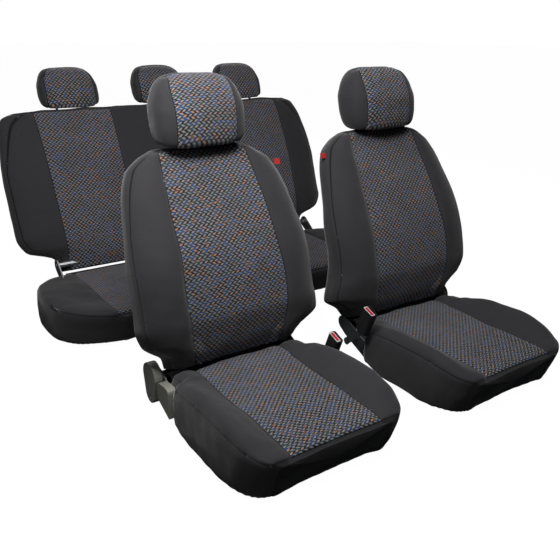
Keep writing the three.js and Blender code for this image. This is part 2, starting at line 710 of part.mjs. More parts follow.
// The recliner hardware is on the door side of a front seat, the belt buckle on its inner side.
function addSideHardware(parent, prefix, doorSide, buckleTop) {
  const inner = -doorSide;
  addPiece(parent, `${prefix}_side_trim`, trimSolid(doorSide), 'greyPlastic');
  addPiece(parent, `${prefix}_recline_lever`, leverSolid(doorSide), 'greyPlastic');
  addPiece(parent, `${prefix}_lever_screw`, leverScrewSolid(doorSide), 'steel');
  addPiece(parent, `${prefix}_buckle_stalk`, stalkSolid(inner, buckleTop), 'steel');
  addPiece(parent, `${prefix}_buckle_body`, buckleBodySolid(inner, buckleTop), 'blackPlastic');
  addPiece(parent, `${prefix}_buckle_button`, buttonBox(inner, buckleTop, 0, 0), 'redPlastic');
  addPiece(parent, `${prefix}_tag`, tagSolid(inner), 'redTape');
}

for (const [index, doorSide] of [-1, 1].entries()) {
  const seatGroup = new THREE.Group();
  seatGroup.position.x = doorSide * FRONT_X;
  const prefix = `front_${index + 1}`;
  addSeat(seatGroup, prefix, FRONT);
  addSideHardware(seatGroup, prefix, doorSide, BUCKLE_TOPS[index]);
  seatCovers.add(seatGroup);
}

const benchGroup = new THREE.Group();
addSeat(benchGroup, 'bench', BENCH);
seatCovers.add(benchGroup);

export default seatCovers;
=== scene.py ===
"""A set of car seat covers, fitted on two front seats and one rear bench."""

import math  # noqa: E402

import bmesh  # noqa: E402
import bpy  # noqa: E402
import numpy as np  # noqa: E402
from mathutils import Matrix, Vector  # noqa: E402


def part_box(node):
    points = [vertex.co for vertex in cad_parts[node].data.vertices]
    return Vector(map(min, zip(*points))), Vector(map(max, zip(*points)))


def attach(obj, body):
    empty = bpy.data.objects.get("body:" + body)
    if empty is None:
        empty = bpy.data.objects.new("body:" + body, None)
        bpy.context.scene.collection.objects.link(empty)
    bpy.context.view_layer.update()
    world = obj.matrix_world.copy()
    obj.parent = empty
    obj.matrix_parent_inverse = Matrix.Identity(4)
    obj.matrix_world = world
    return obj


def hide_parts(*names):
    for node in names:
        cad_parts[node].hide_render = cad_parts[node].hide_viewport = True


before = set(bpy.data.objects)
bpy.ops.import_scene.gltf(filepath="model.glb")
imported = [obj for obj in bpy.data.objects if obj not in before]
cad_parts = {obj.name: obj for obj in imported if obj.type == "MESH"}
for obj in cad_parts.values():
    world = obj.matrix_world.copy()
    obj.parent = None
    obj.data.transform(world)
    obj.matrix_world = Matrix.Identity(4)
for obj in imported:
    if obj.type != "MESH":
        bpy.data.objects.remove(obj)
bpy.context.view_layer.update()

# ------------------------------------------------------------------ sizes, in millimetres

# Along the backs, t runs up from the crease between back and cushion. back_w is the half width there,
# and back_front and back_rear are the surfaces before and behind the crease line. Along the cushions,
# y runs forward from the crease as a negative number; drop lowers the top, lift raises the lower edge,
# and bolster is the sides' rise over the middle.

MM = 0.001
ROW_SHIFT = -378.3  # the front seats' crease line along Y
FRONT_X = 330.0  # middle of each front seat

FRONT = {
    "crease": (ROW_SHIFT, 125.0),
    "recline": 19.5,
    "back_t": [6, 38, 80, 135, 250, 400, 545, 583, 603],
    "back_w": [201, 210, 262, 278, 279, 263, 225, 181, 138],
    "back_front": [15, 46, 70, 92, 101, 78, 40, 27, 15],
    "back_rear": [-92, -91, -82, -66, -32, -27, -38, -40, -36],
    "back_bolster": 15.0,
    "cushion_y": [-8, -24, -78, -94, -200, -320, -400, -452, -482, -492],
    "cushion_w": [206, 210, 212, 243, 248, 248, 243, 226, 200, 174],
    "cushion_bolster": [2, 7, 16, 19, 40, 46, 34, 13, 3, 0],
    "cushion_drop": [14, 1, 0, 0, 0, 0, 0, 1, 6, 19],
    "cushion_lift": [60, 50, 22, 13, 0, 0, 0, 0, 0, 0],
    "tuck": 40.0,
    "bolster_at": 206.0,
    "seam_at": 138.0,
    "inserts": [
        {"x": 0.0, "seat": (139, 134), "back": [138, 151, 156, 151, 148, 140, 130]},
    ],
    "head": {
        "half": 138,
        "depth": 142,
        "height": 184,
        "lean": 12,
        "y": 174 + ROW_SHIFT,
        "z": 705,
        "insert": 92,
        "over": 22,
    },
}

BENCH = {
    "crease": (880 + ROW_SHIFT, 141.0),
    "recline": 23.7,
    "back_t": [6, 56, 95, 150, 330, 520, 590, 612],
    "back_w": [551, 563, 660, 686, 688, 672, 648, 606],
    "back_front": [6, 29, 37, 45, 50, 33, 15, 2],
    "back_rear": [-94, -94, -90, -84, -73, -72, -66, -54],
    "back_bolster": 6.0,
    "cushion_y": [-8, -30, -100, -200, -310, -400, -450, -466],
    "cushion_w": [560, 612, 680, 698, 690, 640, 560, 500],
    "cushion_bolster": [0, 2, 6, 12, 12, 7, 2, 0],
    "cushion_drop": [14, 1, 0, 0, 0, 0, 3, 18],
    "cushion_lift": [50, 40, 24, 20, 18, 16, 14, 14],
    "tuck": 50.0,
    "bolster_at": 640.0,
    "seam_at": 530.0,
    "inserts": [
        {"x": -388.0, "seat": (133, 126), "back": [133, 136, 139, 142, 144, 146, 148]},
        {"x": 388.0, "seat": (133, 126), "back": [133, 136, 139, 142, 144, 146, 148]},
    ],
    "head": {
        "half": 115,
        "depth": 100,
        "height": 140,
        "lean": 22,
        "y": 1153 + ROW_SHIFT,
        "z": 706,
        "insert": 94,
        "over": 6,
    },
}

HEM_T = 6.0  # lower edge of the back covers, along the back
HEM_Z = 3.0  # lower edge of the cushion covers
BACK_SQUARENESS = 3.4
HEAD_SQUARENESS = 3.0
SEAM_DEPTH = 3.2  # how far a seam draws the cloth in
SEAM_WIDTH = 7.0
FAR = 400.0  # stands for "no seam near here"
BENCH_HEAD_X = 378.0  # middle of each outer headrest of the bench
BUCKLE_LEAN = 21.0  # degrees that a buckle leans back
INNER_BULGE = {"by": 38, "at": 62, "reach": 55}  # the front backs' inner side, near the hem
HEAD_CORNER = 58.0  # corner radius of a headrest's insert

# ------------------------------------------------------------------ camera, floor and light


def make_camera():
    yaw, pitch, roll = math.radians(34.44), math.radians(21.29), math.radians(0.85)
    ahead = Vector(
        (math.sin(yaw) * math.cos(pitch), math.cos(yaw) * math.cos(pitch), -math.sin(pitch))
    )
    level = Vector((math.cos(yaw), -math.sin(yaw), 0))
    upward = level.cross(ahead)
    right = level * math.cos(roll) + upward * math.sin(roll)
    up = upward * math.cos(roll) - level * math.sin(roll)
    data = bpy.data.cameras.new("camera")
    data.sensor_width = 36.0
    data.lens = 42.6
    camera = bpy.data.objects.new("camera", data)
    bpy.context.scene.collection.objects.link(camera)
    turn = Matrix((right, up, -ahead)).transposed().to_4x4()
    camera.matrix_world = Matrix.Translation((-1.1924, -1.8618, 1.0234)) @ turn
    bpy.context.scene.camera = camera


def make_light(name, place, target, size, watts):
    data = bpy.data.lights.new(name, "AREA")
    data.shape = "RECTANGLE"
    data.size = data.size_y = size
    data.energy = watts
    lamp = bpy.data.objects.new(name, data)
    bpy.context.scene.collection.objects.link(lamp)
    lamp.location = place
    lamp.rotation_mode = "QUATERNION"
    lamp.rotation_quaternion = (Vector(target) - Vector(place)).to_track_quat("-Z", "Y")


def make_world():
    world = bpy.data.worlds.new("studio")
    bpy.context.scene.world = world
    world.use_nodes = True
    nodes, links = world.node_tree.nodes, world.node_tree.links
    nodes.clear()
    seen = nodes.new("ShaderNodeBackground")
    seen.inputs["Color"].default_value = (1, 1, 1, 1)
    seen.inputs["Strength"].default_value = 1.0
    shining = nodes.new("ShaderNodeBackground")
    shining.inputs["Color"].default_value = (0.86, 0.93, 1.0, 1)
    shining.inputs["Strength"].default_value = 0.02
    path = nodes.new("ShaderNodeLightPath")
    mix = nodes.new("ShaderNodeMixShader")
    out = nodes.new("ShaderNodeOutputWorld")
    links.new(path.outputs["Is Camera Ray"], mix.inputs[0])
    links.new(shining.outputs[0], mix.inputs[1])
    links.new(seen.outputs[0], mix.inputs[2])
    links.new(mix.outputs[0], out.inputs["Surface"])


def make_floor():
    side = 30.0
    mesh = bpy.data.meshes.new("floor")
    corners = [(-side, -side, 0), (side, -side, 0), (side, side, 0), (-side, side, 0)]
    mesh.from_pydata(corners, [], [(0, 1, 2, 3)])
    floor = bpy.data.objects.new("floor", mesh)
    bpy.context.scene.collection.objects.link(floor)
    floor.location.z = -0.0005
    material = bpy.data.materials.new("floor")
    material.use_nodes = True
    shader = material.node_tree.nodes["Principled BSDF"]
    shader.inputs["Base Color"].default_value = (0.05, 0.05, 0.05, 1)
    shader.inputs["Roughness"].default_value = 1.0
    shader.inputs["Specular IOR Level"].default_value = 0.0
    shader.inputs["Emission Color"].default_value = (1, 1, 1, 1)
    shader.inputs["Emission Strength"].default_value = 0.985
    mesh.materials.append(material)
    floor.visible_diffuse = False
    floor.visible_glossy = False


make_camera()
make_world()
make_floor()
make_light("near", (-0.75, -0.75, 1.45), (-0.4, -0.3, 0.7), 0.35, 11.5)
make_light("ahead", (-0.33, -1.4, 2.3), (-0.3, -0.5, 0.4), 0.8, 11.5)
make_light("over", (-0.6, -0.35, 2.3), (-0.4, -0.3, 0.3), 0.6, 4.5)
make_light("behind", (0.9, 3.2, 1.9), (0.0, 0.5, 0.35), 1.8, 55.0)
make_light("left", (-2.3, -1.0, 1.2), (-0.5, -0.4, 0.4), 0.8, 5.0)
make_light("top", (0.25, -0.45, 2.35), (0.2, -0.2, 0.3), 1.0, 7.0)
bpy.context.scene.view_settings.view_transform = "Standard"

# ------------------------------------------------------------------ node helpers


class Nodes:
    """Short names for building a material's node tree."""

    def __init__(self, name):
        self.material = bpy.data.materials.new(name)
        self.material.use_nodes = True
        self.tree = self.material.node_tree
        self.shader = self.tree.nodes["Principled BSDF"]

    def node(self, kind, **settings):
        made = self.tree.nodes.new(kind)
        for key, value in settings.items():
            setattr(made, key, value)
        return made

    def feed(self, socket, value):
        if isinstance(value, bpy.types.NodeSocket):
            self.tree.links.new(value, socket)
        else:
            socket.default_value = value

    def math(self, operation, a, b=0.0, c=0.0):
        made = self.node("ShaderNodeMath", operation=operation)
        for socket, value in zip(made.inputs, (a, b, c)):
            self.feed(socket, value)
        return made.outputs[0]

    def step(self, value, low, high):
        """0 below low, 1 above high, smooth between them."""
        made = self.node("ShaderNodeMapRange", interpolation_type="SMOOTHSTEP")
        for socket, given in zip(made.inputs, (value, low, high, 0.0, 1.0)):
            self.feed(socket, given)
        return made.outputs[0]

    def mix(self, share, a, b):
        made = self.node("ShaderNodeMix", data_type="RGBA")
        self.feed(made.inputs[0], share)
        self.feed(made.inputs[6], a)
        self.feed(made.inputs[7], b)
        return made.outputs[2]

    def join(self, x, y, z=0.0):
        made = self.node("ShaderNodeCombineXYZ")
        for socket, value in zip(made.inputs, (x, y, z)):
            self.feed(socket, value)
        return made.outputs[0]

    def noise(self, vector, scale, detail=2.0):
        made = self.node("ShaderNodeTexNoise")
        self.feed(made.inputs["Vector"], vector)
        made.inputs["Scale"].default_value = scale
        made.inputs["Detail"].default_value = detail
        return made.outputs["Fac"]

    def chance(self, vector):
        made = self.node("ShaderNodeTexWhiteNoise", noise_dimensions="3D")
        self.feed(made.inputs["Vector"], vector)
        return made.outputs["Value"]

    def place(self):
        return self.node("ShaderNodeTexCoord").outputs["Object"]

    def attribute(self, name):
        return self.node("ShaderNodeAttribute", attribute_name=name).outputs["Fac"]

    def bump(self, height, strength, distance):
        made = self.node("ShaderNodeBump")
        made.inputs["Strength"].default_value = strength
        made.inputs["Distance"].default_value = distance
        self.feed(made.inputs["Height"], height)
        return made.outputs[0]

    def finish(self, colour, normal, roughness, **fixed):
        self.feed(self.shader.inputs["Base Color"], colour)
        self.feed(self.shader.inputs["Normal"], normal)
        self.feed(self.shader.inputs["Roughness"], roughness)
        for key, value in fixed.items():
            self.shader.inputs[key.replace("_", " ")].default_value = value
        return self.material


def rgba(r, g, b):
    return (r, g, b, 1.0)


# ------------------------------------------------------------------ materials

DASH_PITCH = 15.0  # the jacquard's repeat across, in millimetres
DASH_ROW = 7.0  # height of one row of slanted dashes
DASH_SLANT = 0.44  # how far a dash leans over its row, as a share of the repeat
DASH_AT, DOT_AT = 0.34, 0.83  # where a dash and a spot stand in the repeat
KNIT = 3900.0  # loops of the plain cloth, in radians per metre


def jacquard_material():
    n = Nodes("jacquard")
    weave = n.node("ShaderNodeUVMap", uv_map="weave").outputs[0]
    parts = n.node("ShaderNodeSeparateXYZ")
    n.feed(parts.inputs[0], weave)
    across = n.math("DIVIDE", n.math("MULTIPLY", parts.outputs[0], 1000.0), DASH_PITCH)
    along = n.math("DIVIDE", n.math("MULTIPLY", parts.outputs[1], 1000.0), DASH_ROW)
    row = n.math("FLOOR", along)
    rise = n.math("FRACT", along)
    odd = n.math("FLOORED_MODULO", row, 2.0)
    lean = n.math("MULTIPLY_ADD", odd, 2.0, -1.0)
    slant = n.math("MULTIPLY", n.math("MULTIPLY", n.math("SUBTRACT", rise, 0.5), lean), DASH_SLANT)
    run = n.math("ADD", n.math("MULTIPLY_ADD", odd, 0.5, across), slant)
    column = n.math("FLOOR", run)
    share = n.math("FRACT", run)
    from_dash = n.math("ABSOLUTE", n.math("SUBTRACT", share, DASH_AT))
    from_middle = n.math("ABSOLUTE", n.math("SUBTRACT", rise, 0.5))
    dash = n.math(
        "MULTIPLY",
        n.math("SUBTRACT", 1.0, n.step(from_dash, 0.19, 0.29)),
        n.math("SUBTRACT", 1.0, n.step(from_middle, 0.32, 0.48)),
    )
    from_dot = n.math("ABSOLUTE", n.math("SUBTRACT", share, DOT_AT))
    dot = n.math(
        "MULTIPLY",
        n.math("SUBTRACT", 1.0, n.step(from_dot, 0.11, 0.18)),
        n.math("SUBTRACT", 1.0, n.step(from_middle, 0.34, 0.48)),
    )
    first = n.chance(n.join(column, row))
    second = n.chance(n.join(row, column, 3.0))
    thread = n.mix(odd, rgba(0.300, 0.232, 0.208), rgba(0.196, 0.204, 0.222))
    thread = n.mix(first, thread, rgba(0.220, 0.212, 0.214))
    warm = n.step(second, 0.90, 0.92)
    thread = n.mix(warm, thread, rgba(0.38, 0.215, 0.145))
    accent = n.mix(n.step(first, 0.55, 0.57), rgba(0.012, 0.075, 0.28), rgba(0.008, 0.06, 0.075))
    accent = n.mix(n.step(second, 0.50, 0.52), accent, rgba(0.012, 0.014, 0.018))
    accent = n.mix(n.step(first, 0.96, 0.97), accent, rgba(0.20, 0.08, 0.04))
    yarn = n.math("SINE", n.math("MULTIPLY", n.math("ADD", across, n.math("MULTIPLY", along, 1.7)), 44.0))
    ground = rgba(0.012, 0.013, 0.016)
    colour = n.mix(dot, ground, accent)
    colour = n.mix(dash, colour, thread)
    cloudy = n.noise(n.place(), 9.0)
    colour = n.mix(n.math("MULTIPLY", n.step(cloudy, 0.35, 0.75), 0.18), colour, ground)
    seam = n.attribute("seam")
    colour = n.mix(n.step(seam, 0.0016, 0.0006), colour, rgba(0.004, 0.004, 0.005))
    figure = n.math("ADD", dash, n.math("MULTIPLY", dot, 0.5))
    raised = n.math("ADD", figure, n.math("MULTIPLY", yarn, 0.12))
    normal = n.bump(raised, 0.55, 0.0009)
    return n.finish(colour, normal, 0.82, Sheen_Weight=0.18, Sheen_Roughness=0.5, Specular_IOR_Level=0.25)


def plain_cloth_material():
    n = Nodes("plain_cloth")
    place = n.place()
    parts = n.node("ShaderNodeSeparateXYZ")
    n.feed(parts.inputs[0], place)
    wave_a = n.math("SINE", n.math("MULTIPLY", n.math("ADD", parts.outputs[0], parts.outputs[2]), KNIT))
    wave_b = n.math("SINE", n.math("MULTIPLY", n.math("SUBTRACT", parts.outputs[1], parts.outputs[2]), KNIT))
    knit = n.math("MULTIPLY", wave_a, wave_b)
    nap = n.noise(place, 1300.0, 3.0)
    brushed = n.noise(place, 22.0, 4.0)
    colour = n.mix(brushed, rgba(0.0205, 0.0195, 0.0222), rgba(0.0315, 0.0298, 0.0330))
    colour = n.mix(n.step(nap, 0.35, 0.8), colour, rgba(0.042, 0.040, 0.044))
    seam = n.attribute("seam")
    colour = n.mix(n.step(seam, 0.0018, 0.0006), colour, rgba(0.003, 0.003, 0.0035))
    track = n.attribute("stitch")
    off_line = n.math("ABSOLUTE", n.math("SUBTRACT", seam, 0.0055))
    thread = n.math(
        "MULTIPLY",
        n.step(off_line, 0.0007, 0.0004),
        n.step(n.math("FRACT", n.math("MULTIPLY", track, 210.0)), 0.30, 0.36),
    )
    colour = n.mix(n.math("MULTIPLY", thread, 0.35), colour, rgba(0.045, 0.043, 0.047))
    height = n.math("ADD", n.math("MULTIPLY", knit, 0.25), nap)
    normal = n.bump(height, 0.35, 0.0004)
    rough = n.math("MULTIPLY_ADD", brushed, 0.16, 0.76)
    return n.finish(
        colour, normal, rough, Sheen_Weight=0.32, Sheen_Roughness=0.45, Specular_IOR_Level=0.3
    )


def plastic_material(name, colour, dark, roughness, grain):
    n = Nodes(name)
    place = n.place()
    fine = n.noise(place, grain, 2.0)
    broad = n.noise(place, 26.0, 3.0)
    mixed = n.mix(n.math("MULTIPLY", broad, 0.5), colour, dark)
    rough = n.math("MULTIPLY_ADD", broad, 0.16, roughness - 0.08)
    return n.finish(mixed, n.bump(fine, 0.25, 0.0003), rough)


def metal_material(name, colour, roughness, brushing):
    n = Nodes(name)
    place = n.place()
    parts = n.node("ShaderNodeSeparateXYZ")
    n.feed(parts.inputs[0], place)
    drawn = n.math("MULTIPLY", parts.outputs[1], brushing)
    streak = n.noise(n.join(parts.outputs[0], drawn, parts.outputs[2]), 60.0)
    cloud = n.noise(place, 14.0, 3.0)
    shade = n.mix(n.math("MULTIPLY", cloud, 0.55), colour, rgba(*(0.45 * c for c in colour[:3])))
    rough = n.math("MULTIPLY_ADD", streak, 0.25, roughness - 0.1)
    return n.finish(shade, n.bump(streak, 0.12, 0.0002), rough, Metallic=1.0)


JACQUARD = jacquard_material()
CLOTH = plain_cloth_material()
GREY_PLASTIC = plastic_material(
    "grey_plastic", rgba(0.30, 0.30, 0.265), rgba(0.20, 0.20, 0.175), 0.36, 1400.0
)
BLACK_PLASTIC = plastic_material(
    "black_plastic", rgba(0.016, 0.016, 0.017), rgba(0.03, 0.03, 0.031), 0.38, 1700.0
)
RED_PLASTIC = plastic_material(
    "red_plastic", rgba(0.62, 0.012, 0.045), rgba(0.42, 0.006, 0.02), 0.30, 900.0
)
WHITE_PLASTIC = plastic_material(
    "white_plastic", rgba(0.80, 0.80, 0.80), rgba(0.62, 0.62, 0.63), 0.35, 900.0
)
STEEL = metal_material("steel", rgba(0.42, 0.43, 0.44), 0.42, 12.0)
CHROME = metal_material("chrome", rgba(0.82, 0.83, 0.85), 0.16, 3.0)
RED_TAPE = plastic_material(
    "red_tape", rgba(0.55, 0.02, 0.02), rgba(0.30, 0.01, 0.01), 0.7, 2600.0
)

# ------------------------------------------------------------------ curves and surfaces as arrays


def smooth(knots, values, at):
    """A cubic that keeps the table's shape, through (knots, values), read at the places `at`."""
    x, y, at = np.asarray(knots, float), np.asarray(values, float), np.asarray(at, float)
    step = np.diff(x)
    slope = np.diff(y) / step
    tangent = np.zeros_like(y)
    tangent[0], tangent[-1] = slope[0], slope[-1]
    for i in range(1, len(x) - 1):
        if slope[i - 1] * slope[i] > 0:
            a, b = 2 * step[i] + step[i - 1], step[i] + 2 * step[i - 1]
            tangent[i] = (a + b) / (a / slope[i - 1] + b / slope[i])
    k = np.clip(np.searchsorted(x, at, side="right") - 1, 0, len(x) - 2)
    s = np.clip((at - x[k]) / step[k], 0, 1)
    return (
        y[k] * (1 + 2 * s) * (1 - s) ** 2
        + tangent[k] * step[k] * s * (1 - s) ** 2
        + y[k + 1] * s * s * (3 - 2 * s)
        + tangent[k + 1] * step[k] * s * s * (s - 1)
    )


def spread(points, count, closed):
    """`count` points at equal steps along a line of points, and how far round each one is."""
    line = np.vstack([points, points[:1]]) if closed else np.asarray(points)
    run = np.concatenate([[0], np.cumsum(np.linalg.norm(np.diff(line, axis=0), axis=1))])
    at = np.linspace(0, run[-1], count, endpoint=not closed)
    return np.stack([np.interp(at, run, line[:, k]) for k in range(line.shape[1])], 1), at


def superellipse(count, squareness):
    """(side, reach) round a rounded rectangle of half width and half depth 1."""
    angle = np.linspace(-math.pi, math.pi, count, endpoint=False)
    c, s = np.cos(angle), np.sin(angle)
    return (
        np.sign(c) * np.abs(c) ** (2 / squareness),
        np.sign(s) * np.abs(s) ** (2 / squareness),
    )


def rounded_corners(points, passes=3):
    """Cuts the corners of an open line of points."""
    line = np.asarray(points, float)
    for _ in range(passes):
        low, high = line[:-1], line[1:]
        cut = np.stack([0.75 * low + 0.25 * high, 0.25 * low + 0.75 * high], 1)
        line = np.vstack([line[:1], cut.reshape(-1, line.shape[1]), line[-1:]])
    return line


class Skin:
    """A triangle mesh in millimetres, with named numbers at its points."""

    def __init__(self, rows, closed, cap_first=False, cap_last=False, bulge=4.0):
        """rows: a list of dicts of equal keys, "co" and others, each an array along the row."""
        keys = list(rows[0])
        table = {k: np.stack([np.asarray(r[k], float) for r in rows]) for k in keys}
        count, width = table["co"].shape[:2]
        k = np.arange(width if closed else width - 1)
        after = (k + 1) % width
        faces = []
        for level in range(count - 1):
            a, b = level * width + k, level * width + after
            c, d = b + width, a + width
            faces += [np.stack([a, b, c], 1), np.stack([a, c, d], 1)]
        self.data = {key: v.reshape(count * width, *v.shape[2:]) for key, v in table.items()}
        self.tris = np.concatenate(faces)
        for wanted, level, turn in ((cap_first, 0, -1), (cap_last, count - 1, 1)):
            if wanted:
                self.cap(level * width, width, closed, turn, bulge)
        self.extra = np.zeros(len(self.data["co"]))  # how far each point is to be pushed out
        self.face_outward()

    def cap(self, start, width, closed, turn, bulge):
        """Closes the end row with rows that shrink to a point, bulging a little."""
        ring = {key: v[start : start + width] for key, v in self.data.items()}
        middle = {key: v.mean(0) for key, v in ring.items()}
        centred = ring["co"] - middle["co"]
        out = turn * np.cross(centred, np.roll(centred, -1, axis=0))[: width - 1].sum(0)
        out /= max(np.linalg.norm(out), 1e-9)
        out *= np.sign(out @ (middle["co"] - self.data["co"].mean(0))) or 1
        last = np.arange(start, start + width)
        k = np.arange(width if closed else width - 1)
        after = (k + 1) % width
        for share in (0.975, 0.9, 0.76, 0.56, 0.34, 0.14):
            size = len(self.data["co"])
            for key in self.data:
                row = middle[key] + (ring[key] - middle[key]) * share
                if key == "co":
                    row = row + out * bulge * (1 - share**2)
                self.data[key] = np.concatenate([self.data[key], row])
            this = np.arange(size, size + width)
            a, b, c, d = last[k], last[after], this[after], this[k]
            self.tris = np.concatenate([self.tris, np.stack([a, b, c], 1), np.stack([a, c, d], 1)])
            last = this
        size = len(self.data["co"])
        for key in self.data:
            tip = middle[key] + (out * bulge if key == "co" else 0)
            self.data[key] = np.concatenate([self.data[key], np.asarray(tip)[None]])
        self.tris = np.concatenate(
            [self.tris, np.stack([last[k], last[after], np.full(len(k), size)], 1)]
        )

    def face_outward(self):
        """Turns each strip of faces to point away from the inside."""
        co = self.data["co"] - self.data["co"].mean(0)
        a, b, c = (co[self.tris[:, i]] for i in range(3))
        wrong = np.einsum("ij,ij->i", a, np.cross(b, c)) < 0
        if wrong.mean() > 0.5:
            self.tris = self.tris[:, ::-1].copy()
        self.tidy_winding()

    def tidy_winding(self):
        """Makes neighbouring faces agree, by Blender's own walk over the mesh."""
        mesh = bpy.data.meshes.new("winding")
        mesh.from_pydata(self.data["co"].tolist(), [], self.tris.tolist())
        work = bmesh.new()
        work.from_mesh(mesh)
        bmesh.ops.recalc_face_normals(work, faces=work.faces)
        self.tris = np.array([[v.index for v in f.verts] for f in work.faces])
        work.free()
        bpy.data.meshes.remove(mesh)

    def cut(self, key):
        """Adds points where the numbers named key are zero, so that no face crosses that line."""
        value = self.data[key]
        value[np.abs(value) < 0.05] = 0.05
        above = value[self.tris] > 0
        mixed = above.any(1) & ~above.all(1)
        whole, split = self.tris[~mixed], self.tris[mixed]
        known, pairs, shares, faces = {}, [], [], []
        size = len(value)

        def between(p, q):
            edge = (min(p, q), max(p, q))
            if edge not in known:
                known[edge] = size + len(pairs)
                pairs.append(edge)
                shares.append(value[edge[0]] / (value[edge[0]] - value[edge[1]]))
            return known[edge]

        for tri in split.tolist():
            signs = [value[p] > 0 for p in tri]
            odd = next(i for i in range(3) if signs.count(signs[i]) == 1)
            a, b, c = tri[odd], tri[(odd + 1) % 3], tri[(odd + 2) % 3]
            ab, ac = between(a, b), between(a, c)
            faces += [(a, ab, ac), (ab, b, c), (ab, c, ac)]
        if pairs:
            low, high = np.array(pairs).T
            share = np.array(shares)
            for name, v in self.data.items():
                s = share.reshape(-1, *([1] * (v.ndim - 1)))
                self.data[name] = np.concatenate([v, v[low] * (1 - s) + v[high] * s])
            self.tris = np.concatenate([whole, np.array(faces)])
            self.data[key][size:] = 0.0

    def normals(self):
        co = self.data["co"]
        a, b, c = (co[self.tris[:, i]] for i in range(3))
        face = np.cross(b - a, c - a)
        total = np.zeros_like(co)
        for i in range(3):
            np.add.at(total, self.tris[:, i], face)
        return total / np.maximum(np.linalg.norm(total, axis=1, keepdims=True), 1e-12)

    def push(self, amount):
        self.data["co"] = self.data["co"] + self.normals() * np.asarray(amount)[:, None]

    def piece(self, name, faces, material):
        """A Blender object of some of the faces."""
        tris = self.tris[faces]
        used, local = np.unique(tris, return_inverse=True)
        local = local.reshape(-1, 3)
        mesh = bpy.data.meshes.new(name)
        mesh.from_pydata((self.data["co"][used] * MM).tolist(), [], local.tolist())
        mesh.polygons.foreach_set("use_smooth", np.ones(len(local), bool))
        layer = mesh.uv_layers.new(name="weave")
        layer.data.foreach_set("uv", (self.data["uv"][used][local.ravel()] * MM).ravel())
        for key in ("seam", "stitch"):
            attribute = mesh.attributes.new(key, "FLOAT", "POINT")
            attribute.data.foreach_set("value", (self.data[key][used] * MM).astype(np.float32))
        mesh.materials.append(material)
        made = bpy.data.objects.new(name, mesh)
        bpy.context.scene.collection.objects.link(made)
        return made


def ripple(co, seed):
    """Gentle unevenness of stretched cloth, the same on every run."""
    rng = np.random.default_rng(seed)
    total = np.zeros(len(co))
    for length, height in ((190, 1.2), (120, 0.8), (70, 0.45), (42, 0.25)):
        for _ in range(3):
            way = rng.normal(size=3)
            way /= np.linalg.norm(way)
            total += height * np.sin(co @ way * 2 * math.pi / length + rng.uniform(0, 6.28)) / 1.7
    return total


def folds(co, where, across, length, height, reach):
    """A few parallel folds round a place. `across` points from fold to fold."""
    offset = co - np.asarray(where, float)
    way = np.asarray(across, float) / np.linalg.norm(across)
    fade = np.exp(-((np.linalg.norm(offset, axis=1) / reach) ** 2))
    wave = np.sin(offset @ way * 2 * math.pi / length)
    return height * fade * np.sign(wave) * np.abs(wave) ** 0.7


def groove(distance, depth=SEAM_DEPTH, width=SEAM_WIDTH):
    """How far the cloth is drawn in near a seam, and how it swells next to it."""
    d = np.abs(distance)
    return -depth * np.exp(-((d / width) ** 2)) + 0.9 * np.exp(-(((d - 26) / 16) ** 2))


# ------------------------------------------------------------------ the covers


def back_place(seat, x, off, t):
    """A point of the backrest: across, in front of the crease line, and up along the back."""
    angle = math.radians(seat["recline"])
    y = seat["crease"][0] + t * math.sin(angle) - off * math.cos(angle)
    z = seat["crease"][1] + t * math.cos(angle) + off * math.sin(angle)
    return np.stack([np.broadcast_to(x, np.shape(off)), y, z], -1)


def back_skin(seat, x0, columns, rows, seed, inner=0):
    """A backrest cover in the seat's own x. inner is the side, -1 or 1, that bulges near the hem."""
    height = seat["back_t"][-1]
    crown = 24
    shoulder = height - crown
    top_levels = shoulder + crown * np.sin(np.linspace(0, 1.5708, 9)[1:])
    levels = np.concatenate([np.linspace(HEM_T, shoulder, rows), top_levels])
    side, reach = superellipse(2400, BACK_SQUARENESS)
    ridge = np.sin(math.pi * np.clip(2 * np.abs(side) - 1, 0, 1))
    rings = []
    for t in levels:
        w, front, rear = (
            float(smooth(seat["back_t"], seat[k], t)) for k in ("back_w", "back_front", "back_rear")
        )
        off = (front + rear) / 2 + (front - rear) / 2 * reach
        off = off + np.where(reach > 0, seat["back_bolster"] * ridge, 0)
        flat, run = spread(np.stack([side * w, off, side, reach], 1), columns, True)
        x, off_at, u, v = flat.T
        bulge = INNER_BULGE["by"] * math.exp(-(((t - INNER_BULGE["at"]) / INNER_BULGE["reach"]) ** 2))
        x = x + inner * np.clip(inner * u, 0, 1) ** 4 * bulge
        insert = np.full(columns, FAR)
        for one in seat["inserts"]:
            half = float(smooth(np.linspace(0, height, 7), one["back"], t))
            edge = np.maximum(np.abs(x - one["x"]) - half, t - (height - 7))
            insert = np.minimum(insert, np.where(v > 0, edge, FAR))
        corner = math.radians(np.interp(t, [0, 380, 560, height], [16, 14, 26, 34]))
        front_turn = math.sin(corner) ** (2 / BACK_SQUARENESS)
        gusset = (front_turn - v) * (front - rear) / 2
        gusset = np.where(np.abs(u) < 0.6, -80.0 * np.sign(v), gusset)
        rings.append(
            {
                "co": back_place(seat, x, off_at, np.full(columns, t)),
                "uv": np.stack([x, np.full(columns, t) + 2.0 * v], 1),
                "insert": insert,
                "gusset": gusset,
                "hem": np.full(columns, t - HEM_T),
                "stitch": np.full(columns, t),
                "run": run,
            }
        )
    skin = Skin(rings, True, cap_last=True, bulge=3.0)
    skin.cut("insert")
    skin.cut("gusset")
    co = skin.data["co"]
    amount = groove(skin.data["insert"]) + 0.6 * groove(skin.data["gusset"], 2.6, 5.0)
    amount += ripple(co, seed)
    amount += 1.8 * np.sin(skin.data["run"] * 2 * math.pi / 31) * np.exp(-skin.data["hem"] / 22)
    skin.extra = amount
    skin.data["co"][:, 0] += x0
    return skin


